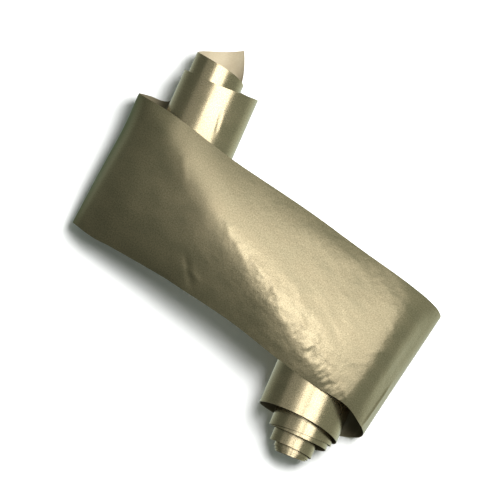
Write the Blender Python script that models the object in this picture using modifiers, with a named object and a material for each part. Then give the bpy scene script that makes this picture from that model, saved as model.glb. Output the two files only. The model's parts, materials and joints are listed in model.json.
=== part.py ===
"""A loose length of metallic sign vinyl on its liner, scrolled inwards at both ends beneath a broad band."""

import math

import bmesh
import bpy
import numpy as np

MM = 0.001

# Driving dimensions
STRIP_WIDTH = 305 * MM  # a 12 inch wide strip
FILM_THICKNESS = 0.3 * MM
LINER_THICKNESS = 0.3 * MM
LAYER_GAP = 0.3 * MM  # between the film and its liner
END_GAP = 0.3 * MM  # between two lengths of the strip that meet
HINGE_GAP = 1.0 * MM  # at the line where the right fold opens
FLOOR = FILM_THICKNESS + LAYER_GAP / 2  # height of the strip's middle where its film lies on the floor
BAND_CROWN = 25 * MM  # how far the band's middle arches above its edges
QUARTER_STEPS = 10  # flat facets in a quarter of a turn
OPEN_STEPS = 5  # facets between two ribs of the open stretch
ACROSS_BAND = 8  # facets across the strip
ACROSS_FOLD = 4

# Each roll is a spiral of quarter ellipses. Its extremes are listed from the floor inwards:
# x and z of the spiral, and y of the strip's northern edge, in millimetres.
UPPER_SPIRAL = (
    (-229, 0.45, 320), (-143, 86, 299), (-229, 169.5, 281), (-314, 88, 297),
    (-247, 4.2, 309), (-186, 69, 318), (-247, 134, 329), (-306, 74, 346),
    (-249, 9, 352), (-190, 68, 352), (-248, 127, 352),
)
LOWER_SPIRAL = (
    (211, 0.45, 0), (120, 90, 9), (211, 180, 12), (303, 91, -6),
    (228, 4.2, -16), (157, 72, -24), (227, 143, -19), (295, 73, -16),
    (226, 8.5, -20), (161, 72, -25), (226, 137, -27), (289, 72, -29),
    (222, 12.5, -40), (171, 61, -52), (219, 109, -53), (267, 62, -57),
    (223, 16.5, -59), (184, 56, -61), (223, 95, -62), (262, 56, -63),
    (223, 20, -64), (187.5, 56, -66), (223, 91.5, -66), (258.5, 56, -66),
    (223, 24, -68), (191, 56, -70), (223, 88, -70), (255, 56, -68),
)
# The tail's cut end is slanted: where on the spiral each of its corners is, in quarters, and its y in millimetres
TAIL_START = 7
TAIL_NORTH_CORNER = (8.33, 401)
TAIL_SOUTH_CORNER = (9.95, 140)

# Ribs of the open stretch, from under the upper roll, round the left fold, along the band, round the right fold
# and under the lower roll: the strip's northern and southern edge in millimetres.
OPEN_RIBS = (
    ((-229, 320, 0.45), (-229, 15, 0.45)),
    ((-290, 272, 0.45), (-289, -32, 0.45)),
    ((-330, 233, 1.5), (-345, -74, 0.45)),
    ((-366, 224, 32), (-388, -86, 8)),
    ((-382, 211, 85), (-406, -97, 38)),
    ((-356, 199, 138), (-392, -104, 68)),
    ((-300, 187, 166), (-350, -116, 96)),
    ((-241, 172, 175), (-270, -127, 122)),
    ((-142, 147, 176), (-150, -144, 149)),
    ((51, 111, 168), (0, -172, 171)),
    ((192, 79, 163), (120, -204, 183)),
    ((300, 56, 158), (215, -225, 187)),
    ((362, 42, 134), (285, -235, 181)),
    ((393, 33, 95), (328, -256, 140)),
    ((402, 25, 62), (348, -270, 75)),
    ((386, 16, 22), (340, -279, 25)),
    ((345, 8, 1.5), (312, -287, 1.5)),
    ((280, 3, 0.45), (275, -298, 0.45)),
    ((211, 0, 0.45), (211, -305, 0.45)),
)
LEFT_FOLD = (2, 6)  # first and last rib
BAND = (6, 12)
RIGHT_FOLD = (12, 14, 16)  # its hinge is at the middle rib
CROWN_RIBS = (4, 6, 8, 11, 13)  # ribs where the crown's height is set
CROWN_SHARE = (0, 1.15, 1.2, 0.8, 0)

# Joints turn or slide about these points and directions
UPPER_ROLL_AXIS = (-248, 67)  # x, z in millimetres
LOWER_CORE_AXIS = (223, 56)


def smooth_between(values, at):
    """A smooth curve through evenly spaced values, read at a place counted in values."""
    slopes = np.gradient(np.array(values, float))
    k = min(int(at), len(values) - 2)
    t = at - k
    rise = (values[k + 1] - values[k]) * (3 * t**2 - 2 * t**3)
    return values[k] + rise + slopes[k] * (t - 2 * t**2 + t**3) + slopes[k + 1] * (t**3 - t**2)


def spiral_point(extremes, turn):
    """The point of a spiral at so many quarters from its start: x, z and the northern edge's y, in millimetres."""
    k = min(int(turn), len(extremes) - 2)
    share = turn - k
    x0, z0, _ = extremes[k]
    x1, z1, _ = extremes[k + 1]
    angle = share * math.pi / 2
    starts_level = k % 2 == 0
    if starts_level:
        x = x0 + (x1 - x0) * math.sin(angle)
        z = z1 + (z0 - z1) * math.cos(angle)
    else:
        x = x1 + (x0 - x1) * math.cos(angle)
        z = z0 + (z1 - z0) * math.sin(angle)
    return x, z, smooth_between([extreme[2] for extreme in extremes], turn)


def turn_grid(extremes, first, last):
    """Points of the strip along a spiral, from one quarter to another: a row from south to north at each step."""
    steps = round((last - first) * QUARTER_STEPS)
    rows = []
    for i in range(steps + 1):
        x, z, north = spiral_point(extremes, first + (last - first) * i / steps)
        rows.append([(x, north - STRIP_WIDTH / MM, z), (x, north, z)])
    return np.array(rows) * MM


def tail_edges(turn):
    """The y of the free end's southern and northern edge at a place on the spiral, in millimetres."""
    north_turn, north_y = TAIL_NORTH_CORNER
    south_turn, south_y = TAIL_SOUTH_CORNER
    start_north = UPPER_SPIRAL[TAIL_START][2]
    start_south = start_north - STRIP_WIDTH / MM
    south = np.interp(turn, (TAIL_START, south_turn), (start_south, south_y))
    north = np.interp(turn, (TAIL_START, north_turn, south_turn), (start_north, north_y, south_y))
    return south, north


def tail_grid():
    """Points of the free end, which is skewed on the roll and cut off at a slant, almost to its southern corner."""
    north_turn, south_turn = TAIL_NORTH_CORNER[0], TAIL_SOUTH_CORNER[0]
    before = np.linspace(TAIL_START, north_turn, round((north_turn - TAIL_START) * QUARTER_STEPS) + 1)
    after = np.linspace(north_turn, south_turn, round((south_turn - north_turn) * QUARTER_STEPS) + 1)
    rows = []
    for turn in np.concatenate([before, after[1:-1]]):
        x, z, _ = spiral_point(UPPER_SPIRAL, turn)
        south, north = tail_edges(turn)
        rows.append([(x, y, z) for y in np.linspace(south, north, ACROSS_FOLD + 1)])
    return np.array(rows) * MM


def smooth_curve(points, first, last, steps):
    """A smooth curve through the points, read from one of them to another in so many steps between two points."""
    points = np.array(points, float)
    apart = np.sqrt(np.linalg.norm(np.diff(points, axis=0), axis=1))
    slopes = np.diff(points, axis=0) / apart[:, None]
    tangents = np.empty_like(points)
    tangents[0], tangents[-1] = slopes[0], slopes[-1]
    before, after = apart[:-1, None], apart[1:, None]
    tangents[1:-1] = (slopes[:-1] * after + slopes[1:] * before) / (before + after)
    curve = []
    for i in range((last - first) * steps + 1):
        at = first + i / steps
        k = min(int(at), len(points) - 2)
        t = at - k
        start, end = points[k], points[k + 1]
        leave, arrive = tangents[k] * apart[k], tangents[k + 1] * apart[k]
        curve.append(
            (2 * t**3 - 3 * t**2 + 1) * start
            + (t**3 - 2 * t**2 + t) * leave
            + (3 * t**2 - 2 * t**3) * end
            + (t**3 - t**2) * arrive
        )
    return np.array(curve)


def open_grid(first, last, across):
    """Points of the open stretch from one rib to another: a row from south to north at each step."""
    north = smooth_curve([rib[0] for rib in OPEN_RIBS], first, last, OPEN_STEPS)
    south = smooth_curve([rib[1] for rib in OPEN_RIBS], first, last, OPEN_STEPS)
    at = np.linspace(first, last, len(north))
    crown = np.interp(at, CROWN_RIBS, CROWN_SHARE) * BAND_CROWN
    rows = []
    for j in range(across + 1):
        v = j / across
        line = (south * (1 - v) + north * v) * MM
        line[:, 2] += 4 * v * (1 - v) * crown
        line[:, 2] = np.maximum(line[:, 2], FLOOR)
        rows.append(line)
    return np.stack(rows, axis=1)


def grid_normals(grid):
    """The normal at each point of a grid, on the side that the strip's film is."""
    along = np.gradient(grid, axis=0)
    width = np.gradient(grid, axis=1)
    normals = np.cross(along, width)
    return normals / np.linalg.norm(normals, axis=2, keepdims=True)


def trimmed(grid, start_gap, end_gap):
    """The grid with its ends drawn back, so that two lengths that meet don't touch."""
    grid = grid.copy()
    for end, inner, gap in ((0, 1, start_gap), (-1, -2, end_gap)):
        step = grid[inner] - grid[end]
        grid[end] += step / np.linalg.norm(step, axis=1, keepdims=True) * gap / 2
    return grid


def strip_lengths():
    """Every length of the strip: its name, the body it moves with, its grid, and which side of the grid is outward."""
    ribs_to = len(OPEN_RIBS) - 1
    lower_to = len(LOWER_SPIRAL) - 1
    opening, middle, closing = RIGHT_FOLD
    return (
        ("upper_tail", "upper_tail", trimmed(tail_grid(), END_GAP, 0), -1),
        ("upper_inner_turn", "upper_inner_turn", trimmed(turn_grid(UPPER_SPIRAL, 4, 7), END_GAP, END_GAP), -1),
        ("upper_outer_turn", "band", trimmed(turn_grid(UPPER_SPIRAL, 0, 4), END_GAP, END_GAP), -1),
        ("upper_under_run", "band", trimmed(open_grid(0, LEFT_FOLD[0], ACROSS_FOLD), END_GAP, END_GAP), 1),
        ("left_fold", "band", trimmed(open_grid(*LEFT_FOLD, ACROSS_FOLD), END_GAP, END_GAP), 1),
        ("band", "band", trimmed(open_grid(*BAND, ACROSS_BAND), END_GAP, END_GAP), 1),
        ("right_fold_upper", "band", trimmed(open_grid(opening, middle, ACROSS_FOLD), END_GAP, HINGE_GAP), 1),
        ("right_fold_lower", "root", trimmed(open_grid(middle, closing, ACROSS_FOLD), HINGE_GAP, END_GAP), 1),
        ("lower_under_run", "root", trimmed(open_grid(closing, ribs_to, ACROSS_FOLD), END_GAP, END_GAP), 1),
        ("lower_outer_turn", "root", trimmed(turn_grid(LOWER_SPIRAL, 0, 4), END_GAP, END_GAP), 1),
        ("lower_second_turns", "lower_second_turns", trimmed(turn_grid(LOWER_SPIRAL, 4, 12), END_GAP, END_GAP), 1),
        ("lower_third_turn", "lower_third_turn", trimmed(turn_grid(LOWER_SPIRAL, 12, 16), END_GAP, END_GAP), 1),
        ("lower_core_turns", "lower_core_turns", trimmed(turn_grid(LOWER_SPIRAL, 16, lower_to), END_GAP, 0), 1),
    )


def joint_places():
    """The point that each moving body's empty stands on, and the body that it is joined to."""
    fold_north, fold_south = (np.array(edge) * MM for edge in OPEN_RIBS[RIGHT_FOLD[1]])
    upper = np.array((UPPER_ROLL_AXIS[0], 0, UPPER_ROLL_AXIS[1])) * MM
    lower = np.array((LOWER_CORE_AXIS[0], 0, LOWER_CORE_AXIS[1])) * MM
    return {
        "root": (np.zeros(3), None),
        "band": ((fold_north + fold_south) / 2, "root"),
        "upper_inner_turn": (upper, "band"),
        "upper_tail": (upper, "upper_inner_turn"),
        "lower_second_turns": (lower, "root"),
        "lower_third_turn": (lower, "lower_second_turns"),
        "lower_core_turns": (lower, "lower_third_turn"),
    }


def make_material(name, color, metallic, roughness):
    material = bpy.data.materials.new(name)
    material.use_nodes = True
    shader = material.node_tree.nodes["Principled BSDF"]
    shader.inputs["Base Color"].default_value = (*color, 1)
    shader.inputs["Metallic"].default_value = metallic
    shader.inputs["Roughness"].default_value = roughness
    material.diffuse_color = (*color, 1)
    return material


def make_layer(name, surface, thickness, material, holder, collection):
    """One layer of the strip: an open surface through the layer's middle, thickened both ways."""
    mesh = bpy.data.meshes.new(name)
    shape = bmesh.new()
    place = np.array(holder.matrix_world.translation)
    rows = [[shape.verts.new(point - place) for point in row] for row in surface]
    for row, following in zip(rows, rows[1:]):
        for j in range(len(row) - 1):
            shape.faces.new((row[j], following[j], following[j + 1], row[j + 1]))
    shape.to_mesh(mesh)
    shape.free()
    mesh.materials.append(material)
    layer = bpy.data.objects.new(name, mesh)
    layer.parent = holder
    collection.objects.link(layer)
    solid = layer.modifiers.new("Thickness", "SOLIDIFY")
    solid.thickness = thickness
    solid.offset = 0
    return layer


def make_holders(centre, collection):
    """An empty for each body, on its joint, parented as the bodies hang on one another."""
    holders = {}
    for body, (place, parent) in joint_places().items():
        holder = bpy.data.objects.new(f"{body}_joint", None)
        collection.objects.link(holder)
        middle = np.zeros(3) if parent is None else centre
        holder.location = place - middle
        if parent:
            holder.parent = holders[parent]
            holder.matrix_parent_inverse = holders[parent].matrix_world.inverted()
        bpy.context.view_layer.update()
        holders[body] = holder
    return holders


def main():
    for obj in list(bpy.data.objects):
        bpy.data.objects.remove(obj, do_unlink=True)
    collection = bpy.data.collections.new("roll_of_sign_vinyl")
    bpy.context.scene.collection.children.link(collection)

    film = make_material("champagne_metallic_film", (0.52, 0.45, 0.31), 0.9, 0.35)
    liner = make_material("tan_release_liner", (0.62, 0.52, 0.38), 0.0, 0.6)
    film_height = (LAYER_GAP + FILM_THICKNESS) / 2
    liner_height = (LAYER_GAP + LINER_THICKNESS) / 2

    lengths = strip_lengths()
    points = np.concatenate([grid.reshape(-1, 3) for _, _, grid, _ in lengths])
    centre = (points.min(axis=0) + points.max(axis=0)) / 2
    centre[2] = 0
    holders = make_holders(centre, collection)
    for name, body, grid, side in lengths:
        outward = grid_normals(grid) * side
        film_surface = grid + outward * film_height - centre
        liner_surface = grid - outward * liner_height - centre
        make_layer(f"{name}_film", film_surface, FILM_THICKNESS, film, holders[body], collection)
        make_layer(f"{name}_liner", liner_surface, LINER_THICKNESS, liner, holders[body], collection)


main()
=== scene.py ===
"""A loose length of champagne metallic sign vinyl, scrolled inwards at both ends beneath a broad band."""

import json
import math

import bmesh
import bpy
import numpy as np
from mathutils import Matrix, Vector, noise

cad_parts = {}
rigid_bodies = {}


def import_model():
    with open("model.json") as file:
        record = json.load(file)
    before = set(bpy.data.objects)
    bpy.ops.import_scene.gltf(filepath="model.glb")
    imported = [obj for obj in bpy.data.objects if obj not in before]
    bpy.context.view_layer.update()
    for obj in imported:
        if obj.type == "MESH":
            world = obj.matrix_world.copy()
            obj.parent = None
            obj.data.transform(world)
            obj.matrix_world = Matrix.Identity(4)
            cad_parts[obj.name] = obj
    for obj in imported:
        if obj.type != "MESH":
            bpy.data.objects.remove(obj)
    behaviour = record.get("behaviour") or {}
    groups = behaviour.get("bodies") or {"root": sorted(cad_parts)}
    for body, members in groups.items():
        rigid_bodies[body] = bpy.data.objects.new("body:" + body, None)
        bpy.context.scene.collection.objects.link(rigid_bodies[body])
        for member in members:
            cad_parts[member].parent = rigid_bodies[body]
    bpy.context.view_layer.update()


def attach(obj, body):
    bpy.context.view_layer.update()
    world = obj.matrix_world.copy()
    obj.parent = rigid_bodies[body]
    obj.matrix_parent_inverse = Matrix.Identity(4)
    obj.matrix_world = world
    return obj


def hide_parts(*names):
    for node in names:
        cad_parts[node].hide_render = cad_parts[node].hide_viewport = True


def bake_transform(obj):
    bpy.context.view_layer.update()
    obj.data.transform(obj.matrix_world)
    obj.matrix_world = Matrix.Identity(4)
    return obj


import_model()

MM = 0.001

# ---- The strip's shape, as the CAD has it ----------------------------------------------------------------
# Tables of points are in millimetres.
STRIP_WIDTH = 305 * MM
LAYER = 0.3 * MM  # thickness of the film and of the liner, and the gap between them
FLOOR_HEIGHT = 1.5 * LAYER  # height of the strip's middle where its film lies on the floor
BAND_CROWN = 25 * MM
ORIGIN = np.array((-2.00533, 12.875, 0.0)) * MM  # middle of the CAD's box, before it was moved to the origin

# Each roll, a quarter turn at a time from the floor inwards: x, z and the y of the strip's northern edge
UPPER_SPIRAL = (
    (-229, 0.45, 320), (-143, 86, 299), (-229, 169.5, 281), (-314, 88, 297),
    (-247, 4.2, 309), (-186, 69, 318), (-247, 134, 329), (-306, 74, 346),
    (-249, 9, 352), (-190, 68, 352), (-248, 127, 352),
)
# The free end: where it starts on the spiral, and where and at which y its two corners are
TAIL_START = 7
TAIL_NORTH_CORNER = (8.33, 401)
TAIL_SOUTH_CORNER = (9.95, 140)
TAIL_END = 9.9  # just short of the tail's southern corner, which is a point
LOWER_SPIRAL = (
    (211, 0.45, 0), (120, 90, 9), (211, 180, 12), (303, 91, -6),
    (228, 4.2, -16), (157, 72, -24), (227, 143, -19), (295, 73, -16),
    (226, 8.5, -20), (161, 72, -25), (226, 137, -27), (289, 72, -29),
    (222, 12.5, -40), (171, 61, -52), (219, 109, -53), (267, 62, -57),
    (223, 16.5, -59), (184, 56, -61), (223, 95, -62), (262, 56, -63),
    (223, 20, -64), (187.5, 56, -66), (223, 91.5, -66), (258.5, 56, -66),
    (223, 24, -68), (191, 56, -70), (223, 88, -70), (255, 56, -68),
)
# The open stretch between the rolls: lines across the strip, each from its northern edge to its southern edge
OPEN_RIBS = (
    ((-229, 320, 0.45), (-229, 15, 0.45)),
    ((-290, 272, 0.45), (-289, -32, 0.45)),
    ((-330, 233, 1.5), (-345, -74, 0.45)),
    ((-366, 224, 32), (-388, -86, 8)),
    ((-382, 211, 85), (-406, -97, 38)),
    ((-356, 199, 138), (-392, -104, 68)),
    ((-300, 187, 166), (-350, -116, 96)),
    ((-241, 172, 175), (-270, -127, 122)),
    ((-142, 147, 176), (-150, -144, 149)),
    ((51, 111, 168), (0, -172, 171)),
    ((192, 79, 163), (120, -204, 183)),
    ((300, 56, 158), (215, -225, 187)),
    ((362, 42, 134), (285, -235, 181)),
    ((393, 33, 95), (328, -256, 140)),
    ((402, 25, 62), (348, -270, 75)),
    ((386, 16, 22), (340, -279, 25)),
    ((345, 8, 1.5), (312, -287, 1.5)),
    ((280, 3, 0.45), (275, -298, 0.45)),
    ((211, 0, 0.45), (211, -305, 0.45)),
)
# How much the open stretch bulges between its edges at some of its ribs, as a share of the crown
CROWN_RIBS = (4, 6, 8, 11, 13)
CROWN_SHARE = (0, 1.15, 1.2, 0.8, 0)
FOLD_RIB = 16  # the right fold's last rib: the strip past it stays on the floor
FOLD_BLEND = ((345, 1.5), (300, 150))  # x and z where the right fold starts and ends opening

# ---- Mesh resolution -------------------------------------------------------------------------------------
QUARTER_STEPS = 48
RIB_STEPS = 28
ACROSS_TURN = 60
ACROSS_BAND = 90


def smooth_between(values, at):
    """A smooth curve through evenly spaced values, read at a place counted in values."""
    slopes = np.gradient(np.array(values, float))
    k = min(int(at), len(values) - 2)
    t = at - k
    rise = (values[k + 1] - values[k]) * (3 * t**2 - 2 * t**3)
    return values[k] + rise + slopes[k] * (t - 2 * t**2 + t**3) + slopes[k + 1] * (t**3 - t**2)


def spiral_point(extremes, turn):
    """A spiral's point at so many quarters from its start: x, z and the northern edge's y, in millimetres."""
    k = min(int(turn), len(extremes) - 2)
    share = turn - k
    x0, z0, _ = extremes[k]
    x1, z1, _ = extremes[k + 1]
    angle = share * math.pi / 2
    starts_level = k % 2 == 0
    if starts_level:
        x = x0 + (x1 - x0) * math.sin(angle)
        z = z1 + (z0 - z1) * math.cos(angle)
    else:
        x = x1 + (x0 - x1) * math.cos(angle)
        z = z0 + (z1 - z0) * math.sin(angle)
    return x, z, smooth_between([extreme[2] for extreme in extremes], turn)


def turn_grid(extremes, first, last):
    """Points of the strip along a spiral: a row from south to north at each step."""
    rows = []
    for i in range(round((last - first) * QUARTER_STEPS) + 1):
        x, z, north = spiral_point(extremes, first + i / QUARTER_STEPS)
        across = np.linspace(north - STRIP_WIDTH / MM, north, ACROSS_TURN + 1)
        rows.append([(x, y, z) for y in across])
    return np.array(rows) * MM - ORIGIN


def tail_grid(first, last):
    """Points of the free end, which is skewed on the roll and cut off at a slant."""
    north_turn, north_y = TAIL_NORTH_CORNER
    south_turn, south_y = TAIL_SOUTH_CORNER
    start_north = UPPER_SPIRAL[TAIL_START][2]
    start_south = start_north - STRIP_WIDTH / MM
    turns = np.linspace(first, last, round((last - first) * QUARTER_STEPS) + 1)
    if first < north_turn < last:
        turns[np.abs(turns - north_turn).argmin()] = north_turn
    rows = []
    for turn in turns:
        x, z, _ = spiral_point(UPPER_SPIRAL, turn)
        south = np.interp(turn, (TAIL_START, south_turn), (start_south, south_y))
        north = np.interp(turn, (TAIL_START, north_turn, south_turn), (start_north, north_y, south_y))
        rows.append([(x, y, z) for y in np.linspace(south, north, ACROSS_TURN + 1)])
    return np.array(rows) * MM - ORIGIN


def smooth_curve(points, at):
    """A smooth curve through the points, read at these places, counted in points."""
    points = np.array(points, float)
    apart = np.sqrt(np.linalg.norm(np.diff(points, axis=0), axis=1))
    slopes = np.diff(points, axis=0) / apart[:, None]
    tangents = np.empty_like(points)
    tangents[0], tangents[-1] = slopes[0], slopes[-1]
    before, after = apart[:-1, None], apart[1:, None]
    tangents[1:-1] = (slopes[:-1] * after + slopes[1:] * before) / (before + after)
    k = np.minimum(at.astype(int), len(points) - 2)
    t = (at - k)[:, None]
    leave = tangents[k] * apart[k, None]
    arrive = tangents[k + 1] * apart[k, None]
    return (
        (2 * t**3 - 3 * t**2 + 1) * points[k]
        + (t**3 - 2 * t**2 + t) * leave
        + (3 * t**2 - 2 * t**3) * points[k + 1]
        + (t**3 - t**2) * arrive
    )


def smooth_value(at, places, values):
    """A value that eases from one place to the next."""
    at = np.clip(at, places[0], places[-1])
    k = np.clip(np.searchsorted(places, at, side="right") - 1, 0, len(places) - 2)
    places, values = np.array(places, float), np.array(values, float)
    t = (at - places[k]) / (places[k + 1] - places[k])
    t = t * t * (3 - 2 * t)
    return values[k] * (1 - t) + values[k + 1] * t


def open_grid(first, last, across):
    """Points of the open stretch from one rib to another: a row from south to north at each step."""
    at = np.linspace(first, last, round((last - first) * RIB_STEPS) + 1)
    north = smooth_curve([rib[0] for rib in OPEN_RIBS], at)
    south = smooth_curve([rib[1] for rib in OPEN_RIBS], at)
    crown = smooth_value(at, CROWN_RIBS, CROWN_SHARE) * BAND_CROWN
    v = np.linspace(0, 1, across + 1)[None, :, None]
    grid = (south[:, None] * (1 - v) + north[:, None] * v) * MM
    grid[..., 2] += (4 * v * (1 - v))[..., 0] * crown[:, None]
    grid[..., 2] = np.maximum(grid[..., 2], FLOOR_HEIGHT)
    return grid - ORIGIN


def grid_normals(grid):
    """The unit normal of a grid at each of its points."""
    normals = np.cross(np.gradient(grid, axis=0), np.gradient(grid, axis=1))
    return normals / np.linalg.norm(normals, axis=2, keepdims=True)


# ---- Relief: the folds, creases and fine wrinkles that the film has taken --------------------------------
# All in millimetres, in plan. The long fold runs from the band's north-western corner, where it is sharp, to
# its south-eastern one, where it is soft.
LONG_FOLD = ((-366, 200), (284, -241))
LONG_FOLD_HEIGHT = 3.0
LONG_FOLD_SLOPES = (0.15, 0.07)  # down to the south-west, and down to the north-east
LONG_FOLD_ROUNDING = (7, 60)  # at its start and at its end
LONG_FOLD_REACH = 95  # how far to each side its slopes die away
# Short pleats run across the fold's softer half, and grow between these two shares of its length
PLEATS_HEIGHT = 0.75
PLEATS_HALF_WIDTH = 15
PLEATS_GROW = (0.45, 0.65)
# Where the band turns over into the right fold, a crest stands up. Its place and width are counted in ribs
CREST_SOUTHERN_RIB = 12.4
CREST_SKEW = 0.7  # how many fewer ribs at its northern end
CREST_WIDTH = 0.68
CREST_HEIGHT = 9.0
# A narrow pleat runs down the right fold's southern half, between two ribs
FOLD_PLEAT = ((337, -258), (359, -156), 2.4, 2.6)
FOLD_PLEAT_RIBS = (12, 14.5)
# The southern edge curls under between two ribs
EDGE_CURL_RIBS = (6.2, 8.2)
EDGE_CURL_DROP = 4.0
EDGE_CURL_WIDTH = 9.0
RELIEF_RIBS = (3, 4.5, 12.5, 14.5)  # the relief starts, is full, starts to end and has ended
# The film is crumpled most in an oval over the south-eastern half of the band, and least along its two edges
CRUMPLED_MIDDLE = (235, -95)
CRUMPLED_RADII = (190, 120)
WRINKLE_FREE_EDGE = 14
# Noise of the film: size, how many times longer it is along the fold, and a seed
PLEATS_NOISE = (24, 0.36, 4.0)
SWELL_NOISE = (55, 2.0, 1.0)
WRINKLE_NOISE = (20, 2.2, 2.0)
SWELL_HEIGHT = 0.5
WRINKLE_HEIGHT = 0.12
CRUMPLED_WRINKLE_HEIGHT = 0.60  # added to the wrinkles in the middle of the oval
# Creases: start, end, height (a valley is negative) and half width
CREASES = {
    "band": (
        ((-143, -84), (-106, -140), -1.6, 6), ((-128, -104), (-96, -121), 0.9, 5),
        ((104, -52), (118, -84), 0.8, 5), ((116, -66), (106, -104), -0.7, 5),
        ((126, -100), (150, -126), 0.7, 5), ((178, -128), (192, -158), 0.9, 5),
        ((190, -140), (176, -170), -0.7, 5), ((226, -178), (243, -206), 0.8, 5),
        ((268, -202), (284, -226), 0.7, 5), ((206, -160), (236, -172), 0.5, 4),
        ((-92, 18), (-70, -14), 0.6, 7), ((-60, -12), (-22, -44), 0.6, 6),
        ((-10, -34), (34, -62), 0.7, 6), ((44, -58), (76, -92), 0.7, 6),
        ((252, -60), (300, -92), 0.4, 5), ((286, -120), (322, -96), 0.5, 5),
        ((300, -40), (342, -66), 0.4, 5), ((262, -150), (298, -140), 0.4, 5),
        ((-232, 104), (-206, 62), 0.5, 9), ((180, -20), (236, -46), 0.3, 6),
        ((50, 78), (226, 42), 1.3, 24),
    ),
    "upper_outer_turn": (((-199, 232), (-191, 184), -0.7, 2.6), ((-190, 226), (-184, 190), 0.3, 4)),
    "lower_outer_turn": (((206, -266), (232, -279), -0.25, 3), ((222, -262), (244, -268), 0.2, 3)),
}


def line_frame(places, start, end):
    """How far along a line each place is, from 0 to 1, and how far to the line's left."""
    start, end = np.array(start, float), np.array(end, float)
    run = end - start
    away = places - start
    along = away @ run / (run @ run)
    aside = (away[..., 1] * run[0] - away[..., 0] * run[1]) / np.linalg.norm(run)
    return along, aside


def long_fold(places):
    """Height of the long fold and of the pleats across it."""
    along, aside = line_frame(places, *LONG_FOLD)
    slope = np.where(aside < 0, *LONG_FOLD_SLOPES)
    rounding = np.interp(along, (0, 1), LONG_FOLD_ROUNDING)
    tent = slope * (np.hypot(aside, rounding) - rounding)
    pleats = PLEATS_HEIGHT * wrinkles(places, *PLEATS_NOISE)
    pleats *= np.exp(-((aside / PLEATS_HALF_WIDTH) ** 2)) * np.interp(along, PLEATS_GROW, (0, 1))
    return (LONG_FOLD_HEIGHT - tent + pleats) * np.exp(-((aside / LONG_FOLD_REACH) ** 2))


def creases(places, lines):
    """Height of straight creases that fade towards their ends."""
    height = np.zeros(places.shape[:-1])
    for start, end, rise, half_width in lines:
        along, aside = line_frame(places, start, end)
        beyond = np.maximum(np.abs(along - 0.5) - 0.25, 0) * 4
        height += rise * np.exp(-((aside / half_width) ** 2) - beyond**2)
    return height


def wrinkles(places, size, stretch, seed):
    """Soft noise from -1 to 1, drawn out along the long fold."""
    run = np.subtract(*LONG_FOLD[::-1]) / np.linalg.norm(np.subtract(*LONG_FOLD))
    along = places @ run / (size * stretch)
    aside = (places[..., 1] * run[0] - places[..., 0] * run[1]) / size
    spots = zip(along.ravel(), aside.ravel())
    drawn = [noise.noise((a, b, seed)) for a, b in spots]
    return np.array(drawn).reshape(along.shape)


def band_relief(places, rib, share):
    """Height of the band's relief, from where points are in plan, along the ribs and across the strip."""
    oval = ((places - CRUMPLED_MIDDLE) / CRUMPLED_RADII) ** 2
    crumpled = np.exp(-oval.sum(axis=-1))
    height = long_fold(places) + creases(places, CREASES["band"])
    from_edge = share * STRIP_WIDTH / MM
    from_either = np.minimum(from_edge, STRIP_WIDTH / MM - from_edge)
    inland = 1 - np.exp(-((from_either / WRINKLE_FREE_EDGE) ** 2))
    height += SWELL_HEIGHT * wrinkles(places, *SWELL_NOISE)
    wrinkled = WRINKLE_HEIGHT + CRUMPLED_WRINKLE_HEIGHT * crumpled
    height += wrinkled * inland * wrinkles(places, *WRINKLE_NOISE)
    from_crest = (rib - CREST_SOUTHERN_RIB + CREST_SKEW * share) / CREST_WIDTH
    height += CREST_HEIGHT * np.sin(np.pi * share) ** 0.7 * np.exp(-(from_crest**2))
    curl_start, curl_end = EDGE_CURL_RIBS
    curled = np.clip((rib - curl_start) * (curl_end - rib) * 2, 0, 1)
    height -= EDGE_CURL_DROP * curled * np.exp(-from_edge / EDGE_CURL_WIDTH)
    raised = np.interp(rib, RELIEF_RIBS, (0, 1, 1, 0))
    pleat_start, pleat_end = FOLD_PLEAT_RIBS
    pleat = creases(places, (FOLD_PLEAT,)) * (rib > pleat_start) * (rib < pleat_end)
    return height * raised + pleat


def relief(name, grid, outward):
    """How far each point of a grid stands off the smooth strip along its normal, in metres."""
    places = ((grid + ORIGIN) / MM)[..., :2]
    if name == "band":
        rows, columns = grid.shape[:2]
        rib = np.linspace(0, FOLD_RIB, rows)[:, None]
        share = np.linspace(0, 1, columns)[None, :]
        return band_relief(places, rib, share) * MM
    facing_up = np.clip(outward[..., 2] * 2 - 1, 0, 1)
    return creases(places, CREASES.get(name, ())) * facing_up * MM


# ---- Making the sheets -----------------------------------------------------------------------------------
def lengths_along(grid):
    """How far along the strip each row of a grid is from its first row, in metres."""
    steps = np.linalg.norm(np.diff(grid.mean(axis=1), axis=0), axis=1)
    return np.concatenate([[0], np.cumsum(steps)])


def sheet_faces(rows, columns):
    """Faces of a closed sheet, whose outer points come row by row and then its inner ones: the two sides, the
    rim that joins them, and the outer points along that rim."""
    count = rows * columns
    at = np.arange(count).reshape(rows, columns)
    outside = np.stack([at[:-1, :-1], at[1:, :-1], at[1:, 1:], at[:-1, 1:]], axis=-1).reshape(-1, 4)
    inside = outside[:, ::-1] + count
    edge = np.concatenate([at[:-1, 0], at[-1, :-1], at[:0:-1, -1], at[0, :0:-1]])
    following = np.roll(edge, -1)
    rim = np.stack([following, edge, edge + count, following + count], axis=-1)
    return outside, inside, rim, edge


def lay_flat(mesh, along, columns):
    """Gives a sheet the UV map of the flat strip, in metres: along is where on it each row is."""
    width = np.linspace(0, STRIP_WIDTH, columns)
    flat = np.stack(np.meshgrid(along, width, indexing="ij"), axis=-1).reshape(-1, 2)
    flat = np.concatenate([flat, flat])
    layer = mesh.uv_layers.new(name="strip")
    loops = np.empty(len(mesh.loops), int)
    mesh.loops.foreach_get("vertex_index", loops)
    layer.data.foreach_set("uv", flat[loops].ravel())


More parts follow.
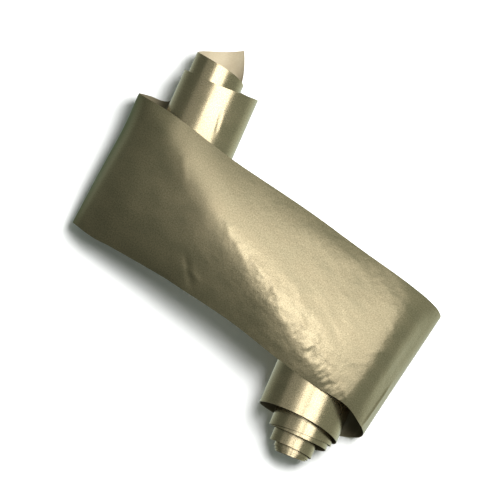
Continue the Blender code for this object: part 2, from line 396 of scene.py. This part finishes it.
def keep_rim_sharp(mesh, smooth_faces, edge, count):
    """Shades the two sides smooth and the rim flat, with a sharp edge between them."""
    smooth = np.arange(len(mesh.polygons)) < smooth_faces
    mesh.polygons.foreach_set("use_smooth", smooth)
    ends = np.empty(len(mesh.edges) * 2, int)
    mesh.edges.foreach_get("vertices", ends)
    ends = ends.reshape(-1, 2)
    on_rim = np.isin(ends % count, edge).all(axis=1)
    same_side = (ends >= count).sum(axis=1) != 1
    sharp = mesh.attributes.new("sharp_edge", "BOOLEAN", "EDGE")
    sharp.data.foreach_set("value", on_rim & same_side)


def shell(name, grid, outward, middle_height, material, along):
    """A closed thin sheet: the grid moved out by a height, half a layer thick each way."""
    rows, columns = grid.shape[:2]
    outer = grid + outward * (middle_height + LAYER / 2)
    inner = grid + outward * (middle_height - LAYER / 2)
    outside, inside, rim, edge = sheet_faces(rows, columns)
    faces = np.concatenate([outside, inside, rim])
    first_corner = np.cross(grid[1, 0] - grid[0, 0], grid[0, 1] - grid[0, 0])
    if np.sum(first_corner * outward[0, 0]) < 0:
        faces = faces[:, ::-1]

    mesh = bpy.data.meshes.new(name)
    points = np.concatenate([outer.reshape(-1, 3), inner.reshape(-1, 3)])
    mesh.from_pydata(points.tolist(), [], faces.tolist())
    lay_flat(mesh, along, columns)
    keep_rim_sharp(mesh, len(outside) + len(inside), edge, rows * columns)
    mesh.materials.append(material)
    mesh.update()
    piece = bpy.data.objects.new(name, mesh)
    bpy.context.scene.collection.objects.link(piece)
    return piece


def node(tree, kind, place=(0, 0), **values):
    """A new node of a material, at a place in its editor."""
    made = tree.nodes.new(kind)
    made.location = place
    for key, value in values.items():
        setattr(made, key, value)
    return made


def strip_noise(tree, size, detail=2.0, stretch=1.0, place=(0, 0)):
    """Noise on the flat strip, with features of about this size in metres, drawn out along the strip."""
    flat = node(tree, "ShaderNodeUVMap", (place[0] - 400, place[1]), uv_map="strip")
    scale = node(tree, "ShaderNodeMapping", (place[0] - 200, place[1]))
    scale.inputs["Scale"].default_value = (1 / (size * stretch), 1 / size, 1)
    made = node(tree, "ShaderNodeTexNoise", place)
    made.inputs["Scale"].default_value = 1.0
    made.inputs["Detail"].default_value = detail
    tree.links.new(flat.outputs["UV"], scale.inputs["Vector"])
    tree.links.new(scale.outputs["Vector"], made.inputs["Vector"])
    return made.outputs["Fac"]


def strip_length(tree, place=(0, 0)):
    """How far along the flat strip a point is, in metres."""
    flat = node(tree, "ShaderNodeUVMap", (place[0] - 200, place[1]), uv_map="strip")
    parts = node(tree, "ShaderNodeSeparateXYZ", place)
    tree.links.new(flat.outputs["UV"], parts.inputs["Vector"])
    return parts.outputs["X"]


def ranged(tree, value, low, high, place=(0, 0), start=0.3, end=0.7):
    """A noise brought into a range."""
    made = node(tree, "ShaderNodeMapRange", place)
    made.inputs["From Min"].default_value = start
    made.inputs["From Max"].default_value = end
    made.inputs["To Min"].default_value = low
    made.inputs["To Max"].default_value = high
    tree.links.new(value, made.inputs["Value"])
    return made.outputs["Result"]


def coloured(tree, value, dark, light, place=(0, 0), start=0.3, end=0.7):
    """A noise as a colour between two."""
    ramp = node(tree, "ShaderNodeValToRGB", place)
    ramp.color_ramp.elements[0].position = start
    ramp.color_ramp.elements[0].color = (*dark, 1)
    ramp.color_ramp.elements[1].position = end
    ramp.color_ramp.elements[1].color = (*light, 1)
    tree.links.new(value, ramp.inputs["Fac"])
    return ramp.outputs["Color"]


def tinted(tree, first, second, place=(0, 0)):
    """One colour multiplied by another."""
    mix = node(tree, "ShaderNodeMix", place, data_type="RGBA", blend_type="MULTIPLY")
    mix.inputs["Factor"].default_value = 1.0
    tree.links.new(first, mix.inputs["A"])
    tree.links.new(second, mix.inputs["B"])
    return mix.outputs["Result"]


def bumped(tree, height, distance, strength, place=(0, 0), under=None):
    """A normal roughened by a height, on top of another one where there is one."""
    bump = node(tree, "ShaderNodeBump", place)
    bump.inputs["Distance"].default_value = distance
    bump.inputs["Strength"].default_value = strength
    tree.links.new(height, bump.inputs["Height"])
    if under:
        tree.links.new(under, bump.inputs["Normal"])
    return bump.outputs["Normal"]


def make_film(name, roughness, crumpled=False):
    """Metallic film: fine flake that glitters, a little cloudy, under a glossy clear face. The crumpled film
    is creased along the band. At the left fold, painted shade darkens its colour and specular tint, and its
    clear face thins away there."""
    material = bpy.data.materials.new(name)
    material.use_nodes = True
    tree = material.node_tree
    shader = tree.nodes["Principled BSDF"]
    shader.inputs["Metallic"].default_value = 1.0
    shader.inputs["Coat Weight"].default_value = FILM_COAT
    shader.inputs["Coat Roughness"].default_value = 0.12
    shader.inputs["Coat IOR"].default_value = 1.45
    flake = strip_noise(tree, FLAKE_SIZE, detail=4.0, place=(-900, 400))
    clouds = strip_noise(tree, CLOUD_SIZE, detail=3.0, stretch=1.6, place=(-900, 100))
    flake_colour = coloured(tree, flake, FILM_DARK, FILM_LIGHT, (-600, 400))
    cloud_colour = coloured(tree, clouds, CLOUD_DARK, CLOUD_LIGHT, (-600, 100))
    colour = tinted(tree, flake_colour, cloud_colour, (-300, 300))
    if crumpled:
        # Painted shade at the left fold: darkens the film's colour and specular tint there and takes away its
        # coat
        past_fold_shade = ranged(tree, strip_length(tree, (-900, 700)), 0, 1, (-600, 700), *LEFT_FOLD_SHADE_FADE)
        painted_fold_shade = coloured(tree, past_fold_shade, LEFT_FOLD_PAINTED_SHADE, UNTINTED, (-300, 700), 0.0, 1.0)
        colour = tinted(tree, colour, painted_fold_shade, (-50, 500))
        tree.links.new(painted_fold_shade, shader.inputs["Specular Tint"])
        coat = ranged(tree, past_fold_shade, 0.0, FILM_COAT, (-300, 900), 0, 1)
        tree.links.new(coat, shader.inputs["Coat Weight"])
    tree.links.new(colour, shader.inputs["Base Color"])
    tree.links.new(ranged(tree, clouds, *roughness, (-600, -150)), shader.inputs["Roughness"])
    peel = strip_noise(tree, PEEL_SIZE, detail=2.0, place=(-900, -400))
    grain = bumped(tree, flake, FLAKE_HEIGHT, 0.35, (-500, -400))
    surface = bumped(tree, peel, PEEL_HEIGHT, 0.30, (-250, -400), grain)
    if crumpled:
        crumples = strip_noise(tree, CRUMPLE_SIZE, detail=3.0, stretch=0.8, place=(-900, -700))
        along = strip_length(tree, (-900, -1000))
        handled = ranged(tree, along, 0.15, 1, (-600, -1000), *CRUMPLED_LENGTH)
        both = node(tree, "ShaderNodeMath", (-300, -800), operation="MULTIPLY")
        tree.links.new(crumples, both.inputs[0])
        tree.links.new(handled, both.inputs[1])
        surface = bumped(tree, both.outputs["Value"], CRUMPLE_HEIGHT, 0.5, (0, -400), surface)
    tree.links.new(surface, shader.inputs["Normal"])
    return material


def make_liner():
    """Coated paper with fine fibres, in patches: tan at the free end, which lay in the light, and darkened
    and greyed with painted shade everywhere further in.
    """
    material = bpy.data.materials.new("tan_release_liner")
    material.use_nodes = True
    tree = material.node_tree
    shader = tree.nodes["Principled BSDF"]
    shader.inputs["Specular IOR Level"].default_value = 0.35
    shader.inputs["Coat Weight"].default_value = 0.08
    shader.inputs["Coat Roughness"].default_value = 0.30
    fibres = strip_noise(tree, FIBRE_SIZE, detail=5.0, stretch=3.0, place=(-900, 400))
    patches = strip_noise(tree, PATCH_SIZE, detail=3.0, place=(-900, 100))
    fresh = coloured(tree, fibres, LINER_DARK, LINER_LIGHT, (-600, 400))
    handled = coloured(tree, patches, PATCH_TINT, UNTINTED, (-600, 100))
    paper = tinted(tree, fresh, handled, (-300, 300))
    aged = tinted(tree, paper, handled, (-300, 500))
    # Painted shade: the liner is darkened and greyed everywhere but the free end
    inwards = ranged(tree, strip_length(tree, (-700, 700)), 0, 1, (-500, 700), *LINER_SHADE_FADE)
    liner_painted_shade = coloured(tree, inwards, UNTINTED, LINER_PAINTED_SHADE, (-300, 700), 0.0, 1.0)
    tree.links.new(tinted(tree, aged, liner_painted_shade, (-50, 500)), shader.inputs["Base Color"])
    tree.links.new(ranged(tree, patches, *LINER_ROUGHNESS, (-600, -150)), shader.inputs["Roughness"])
    tree.links.new(bumped(tree, fibres, FIBRE_HEIGHT, 0.4, (-300, -400)), shader.inputs["Normal"])
    return material


# ---- The two materials -------------------------------------------------------------------------------------
# Colours are linear. Sizes are those of the noise on the flat strip, heights those of its bumps.
FILM_DARK, FILM_LIGHT = (0.395, 0.325, 0.203), (0.625, 0.520, 0.340)
CLOUD_DARK, CLOUD_LIGHT = (0.90, 0.91, 0.90), (1.0, 0.99, 0.98)
# Painted shade: the crumpled film's colour at the left fold
LEFT_FOLD_PAINTED_SHADE = (0.45, 0.50, 0.45)
LINER_DARK, LINER_LIGHT = (0.37, 0.315, 0.22), (0.44, 0.375, 0.27)
# Painted shade: the liner's colour everywhere but the free end
LINER_PAINTED_SHADE = (0.42, 0.43, 0.40)
PATCH_TINT = (0.92, 0.91, 0.89)
UNTINTED = (1.0, 1.0, 1.0)

FILM_COAT = 0.25
LINER_ROUGHNESS = (0.46, 0.58)
FLAKE_SIZE, FLAKE_HEIGHT = 2.8 * MM, 0.03 * MM
PEEL_SIZE, PEEL_HEIGHT = 7 * MM, 0.08 * MM
CRUMPLE_SIZE, CRUMPLE_HEIGHT = 16 * MM, 1.3 * MM
FIBRE_SIZE, FIBRE_HEIGHT = 1.6 * MM, 0.05 * MM
CLOUD_SIZE = 30 * MM
PATCH_SIZE = 50 * MM

# Where on the strip's length, in metres from where the lower lengths start: the film grows more crumpled, and
# the left fold's painted shade fades out. The upper lengths count back from the same place: there the painted
# shade on the liner fades in, so that it darkens all of the liner but the free end
CRUMPLED_LENGTH = (0.50, 0.75)
LEFT_FOLD_SHADE_FADE = (0.25, 0.32)
LINER_SHADE_FADE = (-0.84, -0.74)

FILM = make_film("champagne_metallic_film", (0.22, 0.29))
CRUMPLED_FILM = make_film("crumpled_metallic_film", (0.28, 0.35), crumpled=True)
LINER = make_liner()
FILM_HEIGHT = LAYER
LINER_HEIGHT = -LAYER


def ride_on(body):
    """Moves the strip with one body."""
    return lambda piece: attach(piece, body)


def blend_between(a, b, start, end):
    """Leaves the strip in place with no body: it bakes the piece's placement into its mesh. The bodies a and
    b and the points start and end, x and z, are not used.
    """
    return lambda piece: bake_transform(piece)


def upper_lengths():
    """The lengths from under the upper roll inwards: name, grid, how held, CAD lengths and how it moves."""
    spiral = UPPER_SPIRAL
    sides = [(x, 0) for x, _, _ in spiral]
    to_tail = blend_between("upper_inner_turn", "upper_tail", spiral[7][:2], spiral[8][:2])
    return (
        ("upper_outer_turn", turn_grid(spiral, 0, 3), "folded", ["upper_outer_turn"], ride_on("band")),
        ("upper_link", turn_grid(spiral, 3, 5), "folded", [],
         blend_between("band", "upper_inner_turn", sides[3], sides[5])),
        ("upper_inner_turn", turn_grid(spiral, 5, 7), "folded", ["upper_inner_turn"],
         ride_on("upper_inner_turn")),
        ("upper_tail_curl", tail_grid(7, 8), "folded", ["upper_tail"], to_tail),
        ("upper_tail", tail_grid(8, TAIL_END), "folded", [], ride_on("upper_tail")),
    )


def lower_lengths():
    """The lengths from under the upper roll, over the band and into the lower roll, in the same form."""
    spiral = LOWER_SPIRAL
    sides = [(x, 0) for x, _, _ in spiral]
    core, last_rib = len(spiral) - 1, len(OPEN_RIBS) - 1
    open_lengths = ["upper_under_run", "left_fold", "band", "right_fold_upper", "right_fold_lower"]
    return (
        ("band", open_grid(0, FOLD_RIB, ACROSS_BAND), "draped", open_lengths,
         blend_between("root", "band", *FOLD_BLEND)),
        ("lower_under_run", open_grid(FOLD_RIB, last_rib, ACROSS_BAND), "laid", ["lower_under_run"],
         ride_on("root")),
        ("lower_outer_turn", turn_grid(spiral, 0, 3), "folded", ["lower_outer_turn"], ride_on("root")),
        ("lower_link", turn_grid(spiral, 3, 5), "folded", [],
         blend_between("root", "lower_second_turns", sides[3], sides[5])),
        ("lower_second_turns", turn_grid(spiral, 5, 11), "folded", ["lower_second_turns"],
         ride_on("lower_second_turns")),
        ("lower_third_link", turn_grid(spiral, 11, 13), "folded", [],
         blend_between("lower_second_turns", "lower_third_turn", sides[11], sides[13])),
        ("lower_third_turn", turn_grid(spiral, 13, 15), "folded", ["lower_third_turn"],
         ride_on("lower_third_turn")),
        ("lower_core_link", turn_grid(spiral, 15, 17), "folded", [],
         blend_between("lower_third_turn", "lower_core_turns", sides[15], sides[17])),
        ("lower_core_turns", turn_grid(spiral, 17, core), "folded", ["lower_core_turns"],
         ride_on("lower_core_turns")),
    )


def make_strip(lengths, side):
    """Makes the film and the liner of lengths that follow one another. Side says where the film lies."""
    start = 0.0
    for name, grid, held, stands_for, move in lengths:
        along = start + side * lengths_along(grid)
        start = along[-1]
        smooth_outward = grid_normals(grid) * side
        grid = grid + smooth_outward * relief(name, grid, smooth_outward)[..., None]
        outward = grid_normals(grid) * side
        film = CRUMPLED_FILM if name == "band" else FILM
        for layer, height, material in (("liner", LINER_HEIGHT, LINER), ("film", FILM_HEIGHT, film)):
            piece = shell(f"{name}_{layer}_sheet", grid, outward, height, material, along)
            move(piece)
            if stands_for:
                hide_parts(*(f"{length}_{layer}" for length in stands_for))


# ---- Camera, floor and light -----------------------------------------------------------------------------
IMAGE_RIGHT = math.atan2(0.4, 0.917)  # the picture's direction to the right, from +X
CAMERA_TILT = 0.13  # towards the foot of the picture
CAMERA_TARGET = (-0.02989, -0.00280, 0.06)
CAMERA_DISTANCE = 5.16
PICTURE_WIDTH = 500 * 0.00215  # in metres, at the target
FLOOR_HALF = 6.0
FLOOR_DROP = 0.5 * MM  # below the strip

# The lights that the film mirrors: middle, size, radiance and height. A lower one hides those above it
BAND_PANELS = (
    ("wide_panel", (0.50, 0.65), (2.7, 2.6), 0.38, 2.00),
    ("overhead_panel", (0.55, 0.45), (2.1, 1.6), 0.78, 1.98),
    ("core_panel", (0.00, -0.06), (0.55, 0.6), 1.90, 1.96),
)
# These shine only on the rolls, and give them their narrow highlights
ROLL_PANELS = (
    ("north_strip", (0.35, 0.62), (1.9, 0.34), 3.6, 1.9),
    ("south_strip", (1.22, -0.17), (1.5, 0.28), 3.7, 1.9),
    ("left_panel", (-2.00, 0.2), (2.8, 1.6), 0.25, 1.9),
)
ROLL_WORDS = ("turn", "link", "tail")  # in the names of the pieces that are part of a roll
# The soft lamp that casts the shadows
KEY_PLACE = (0.62, 0.50, 2.4)
KEY_SIZE = (1.10, 1.10)
KEY_POWER = 125
# The room: its level rises from the first to the second along this direction
ROOM_COLOUR = (0.88, 1.0, 0.87, 1)
ROOM_BRIGHTER_TOWARDS = (0.70, 0.71, 0)
ROOM_LEVELS = (0.11, 0.42)
FLOOR_GAIN = 2.6  # how much brighter the room is below the horizon
FLOOR_STARTS = (-0.85, -0.25)  # the share of down in a direction where that gain is full, and where it ends


def make_camera():
    """The photograph's camera: nearly straight above, turned so that the rolls run down to the left."""
    right = Vector((math.cos(IMAGE_RIGHT), math.sin(IMAGE_RIGHT), 0))
    up = Vector((-right.y, right.x, 0))
    back = (Vector((0, 0, 1)) - up * CAMERA_TILT).normalized()
    target = Vector(CAMERA_TARGET) - Vector(ORIGIN)
    data = bpy.data.cameras.new("camera")
    data.sensor_width = 36
    data.lens = data.sensor_width * CAMERA_DISTANCE / PICTURE_WIDTH
    data.clip_start, data.clip_end = 0.1, 50
    camera = bpy.data.objects.new("camera", data)
    turn = Matrix((right, back.cross(right), back)).transposed().to_4x4()
    camera.matrix_world = Matrix.Translation(target + back * CAMERA_DISTANCE) @ turn
    bpy.context.scene.collection.objects.link(camera)
    bpy.context.scene.camera = camera


def make_floor():
    mesh = bpy.data.meshes.new("floor")
    shape = bmesh.new()
    bmesh.ops.create_grid(shape, x_segments=1, y_segments=1, size=FLOOR_HALF)
    shape.to_mesh(mesh)
    shape.free()
    floor = bpy.data.objects.new("floor", mesh)
    floor.location.z = -FLOOR_DROP
    floor.visible_glossy = False
    bpy.context.scene.collection.objects.link(floor)
    material = bpy.data.materials.new("white_floor")
    material.use_nodes = True
    shader = material.node_tree.nodes["Principled BSDF"]
    shader.inputs["Base Color"].default_value = (0.9, 0.9, 0.9, 1)
    shader.inputs["Roughness"].default_value = 0.9
    shader.inputs["Specular IOR Level"].default_value = 0.1
    mesh.materials.append(material)


def area_light(name, place, aim, size, power, glossy=True):
    """A rectangular lamp that faces a point."""
    data = bpy.data.lights.new(name, "AREA")
    data.shape = "RECTANGLE"
    data.size, data.size_y = size
    data.energy = power
    lamp = bpy.data.objects.new(name, data)
    lamp.location = place
    lamp.rotation_mode = "QUATERNION"
    lamp.rotation_quaternion = (Vector(aim) - Vector(place)).to_track_quat("-Z", "Y")
    lamp.visible_glossy = glossy
    bpy.context.scene.collection.objects.link(lamp)
    return lamp


def panel(name, middle, size, radiance, height, only=None):
    """A light that only the film mirrors: it faces straight down, and shows as bright as this."""
    power = radiance * math.pi * size[0] * size[1]
    lamp = area_light(name, (*middle, height), (*middle, 0), size, power)
    lamp.visible_diffuse = False
    if only:
        lamp.light_linking.receiver_collection = only


def make_room_light():
    """The room that the film mirrors beyond the lights: darker towards -X and -Y, with a pale floor."""
    world = bpy.data.worlds.new("room")
    bpy.context.scene.world = world
    world.use_nodes = True
    tree = world.node_tree
    background = tree.nodes["Background"]
    towards = node(tree, "ShaderNodeTexCoord", (-900, 0))
    across = node(tree, "ShaderNodeVectorMath", (-700, 100), operation="DOT_PRODUCT")
    across.inputs[1].default_value = ROOM_BRIGHTER_TOWARDS
    parts = node(tree, "ShaderNodeSeparateXYZ", (-700, -100))
    tree.links.new(towards.outputs["Generated"], across.inputs[0])
    tree.links.new(towards.outputs["Generated"], parts.inputs["Vector"])
    level = ranged(tree, across.outputs["Value"], *ROOM_LEVELS, (-500, 100), -1, 1)
    below = ranged(tree, parts.outputs["Z"], FLOOR_GAIN, 1.0, (-500, -100), *FLOOR_STARTS)
    strength = node(tree, "ShaderNodeMath", (-300, 0), operation="MULTIPLY")
    tree.links.new(level, strength.inputs[0])
    tree.links.new(below, strength.inputs[1])
    background.inputs["Color"].default_value = ROOM_COLOUR
    tree.links.new(strength.outputs["Value"], background.inputs["Strength"])


def make_light():
    make_room_light()
    rolls = bpy.data.collections.new("rolls")
    for piece in bpy.data.objects:
        if piece.name.endswith("_sheet") and any(word in piece.name for word in ROLL_WORDS):
            rolls.objects.link(piece)
    for values in BAND_PANELS:
        panel(*values)
    for values in ROLL_PANELS:
        panel(*values, rolls)
    area_light("key", KEY_PLACE, (0, 0, 0), KEY_SIZE, KEY_POWER, glossy=False)
    bpy.context.scene.view_settings.view_transform = "Standard"


make_camera()
make_strip(upper_lengths(), -1)
make_strip(lower_lengths(), 1)
make_floor()
make_light()
